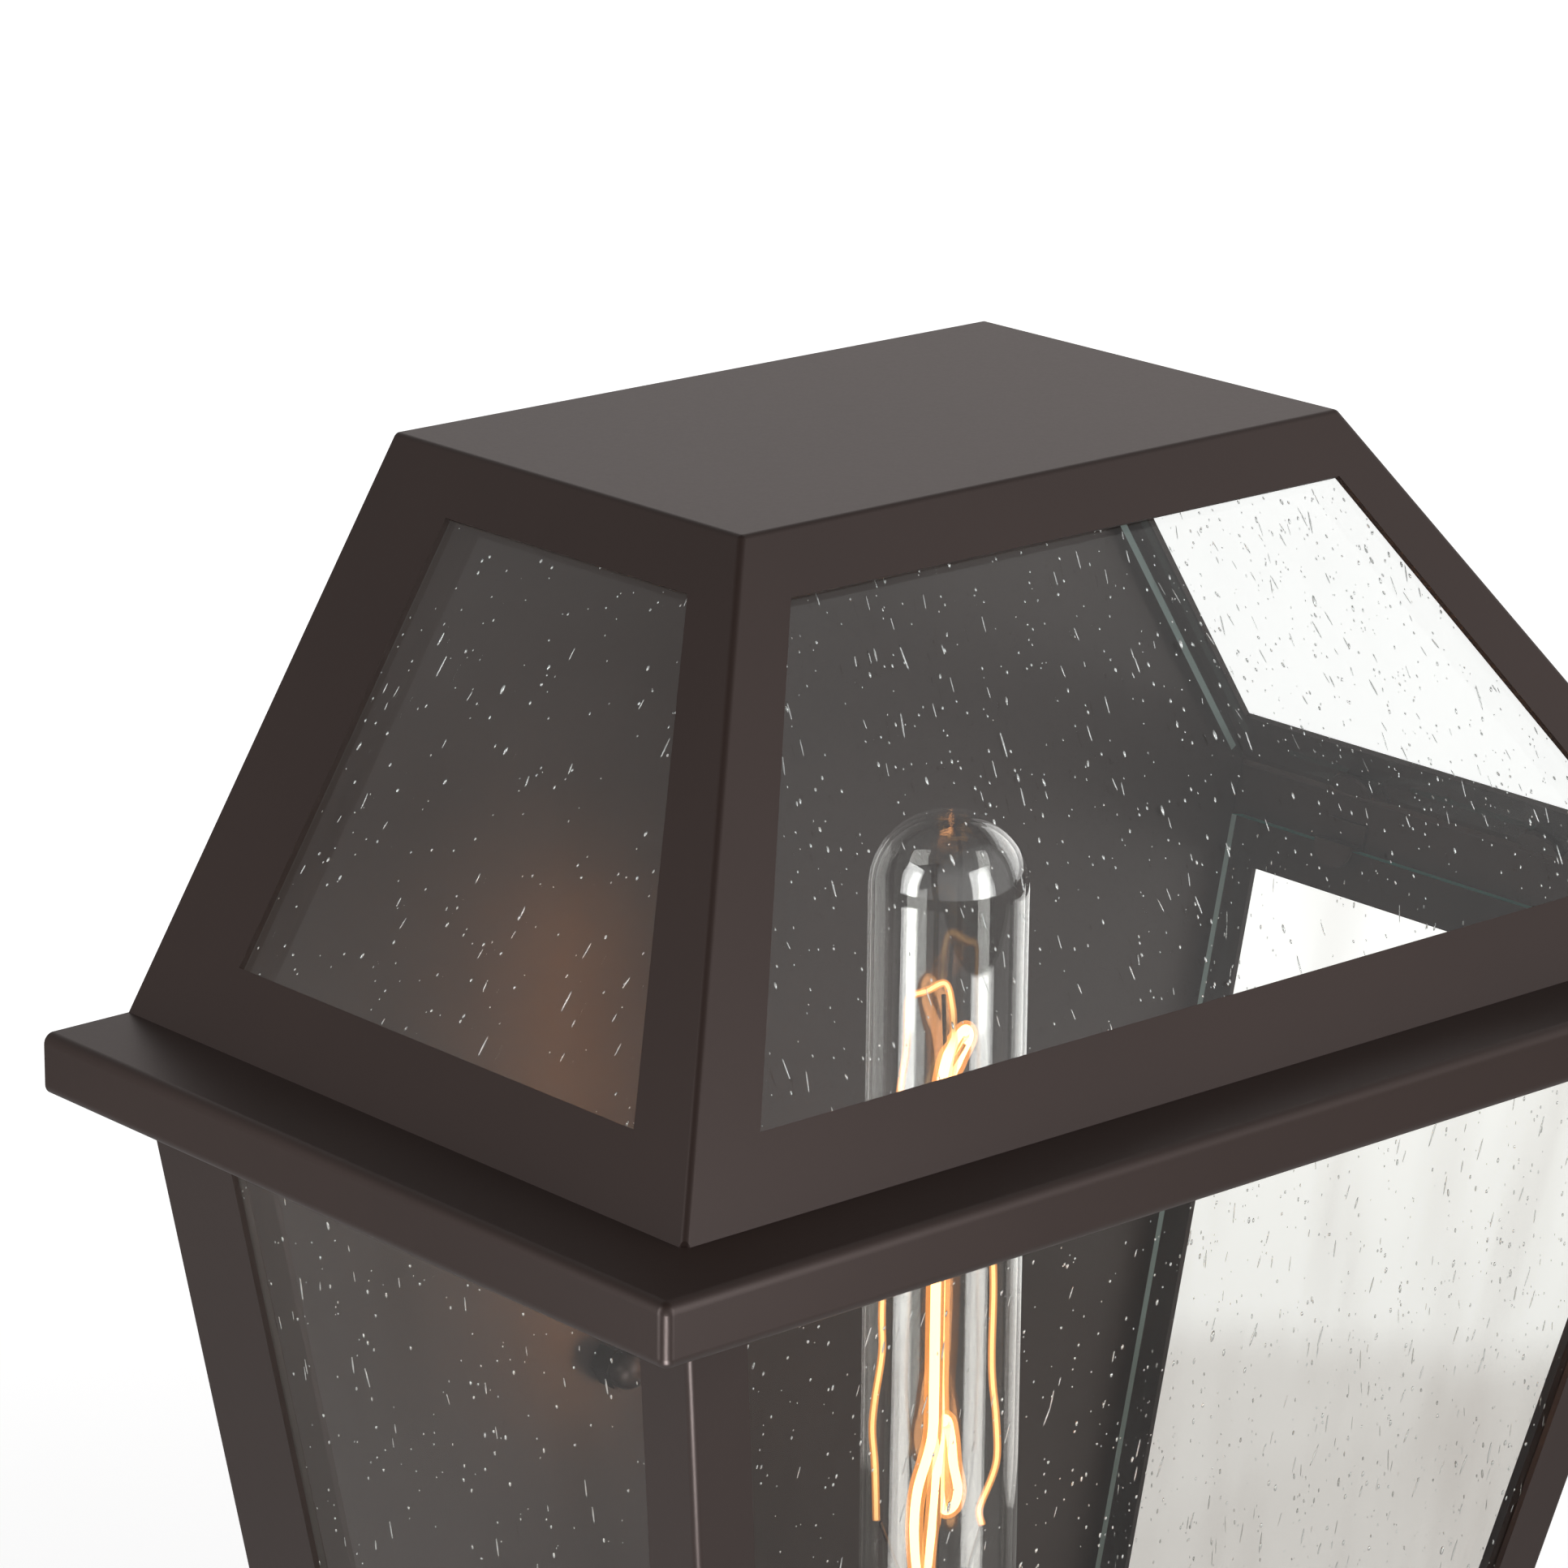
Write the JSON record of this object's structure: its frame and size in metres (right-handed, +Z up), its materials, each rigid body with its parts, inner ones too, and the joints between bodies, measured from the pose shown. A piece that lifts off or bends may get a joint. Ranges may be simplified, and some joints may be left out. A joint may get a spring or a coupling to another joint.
{
  "type": "outdoor wall light",
  "caption": "Flush-back half lantern for an outside wall: hipped glazed roof on a projecting collar, tapered glazed body, upright tubular filament lamp, open base for relamping",
  "frame": {"origin": "middle of the mounting bar's two box slots, on the wall plane", "axes": "+Z up, -Y out of the wall towards the viewer, +X to the right of someone facing the lantern"},
  "size_m": [0.305, 0.17, 0.3809],
  "materials": {
    "bronze_paint": "satin powder coat, dark bronze",
    "seeded_glass": "clear, with small seeds and streaks",
    "zinc_steel": "zinc plated",
    "green_steel": "green plated",
    "foam_rubber": "matt black",
    "porcelain": "white glazed porcelain",
    "brass": "plain",
    "black_lead": "smooth",
    "white_lead": "smooth",
    "lamp_glass": "clear and smooth",
    "nickel_cap": "bright",
    "black_glass": "black glass",
    "support_wire": "drawn wire",
    "glowing_filament": "glowing, warm orange"
  },
  "bodies": {
    "lantern": {"roof_shell": "bronze_paint", "collar": "bronze_paint", "cage_frame": "bronze_paint", "back_pan": "bronze_paint", "holder_bracket": "bronze_paint", "cap_nuts": "bronze_paint", "roof_clips_left": "bronze_paint", "roof_clips_front": "bronze_paint", "roof_clips_right": "bronze_paint", "body_clips_left": "bronze_paint", "body_clips_front": "bronze_paint", "body_clips_right": "bronze_paint", "roof_pane_left": "seeded_glass", "roof_pane_front": "seeded_glass", "roof_pane_right": "seeded_glass", "body_pane_left": "seeded_glass", "body_pane_front": "seeded_glass", "body_pane_right": "seeded_glass", "mounting_bar": "zinc_steel", "mounting_studs": "zinc_steel", "bracket_rivets": "zinc_steel", "holder_nipple": "zinc_steel", "nipple_nut": "zinc_steel", "ground_screw": "green_steel", "wall_gasket": "foam_rubber", "wire_grommet": "foam_rubber", "holder_body": "porcelain", "holder_shell": "brass", "holder_contact": "brass", "lead_black": "black_lead", "lead_white": "white_lead"},
    "lamp": {"bulb_contact": "brass", "bulb_insulator": "black_glass", "bulb_cap": "nickel_cap", "bulb_glass": "lamp_glass", "bulb_stem": "lamp_glass", "filament_supports": "support_wire", "filament": "glowing_filament"}
  },
  "joints": [
    {"name": "lamp_turn", "type": "hinge", "parent": "lantern", "child": "lamp", "pos_m": [0, -0.0703, -0.1], "axis": [0, 0, 1], "range_deg": [0, 1800]}
  ]
}
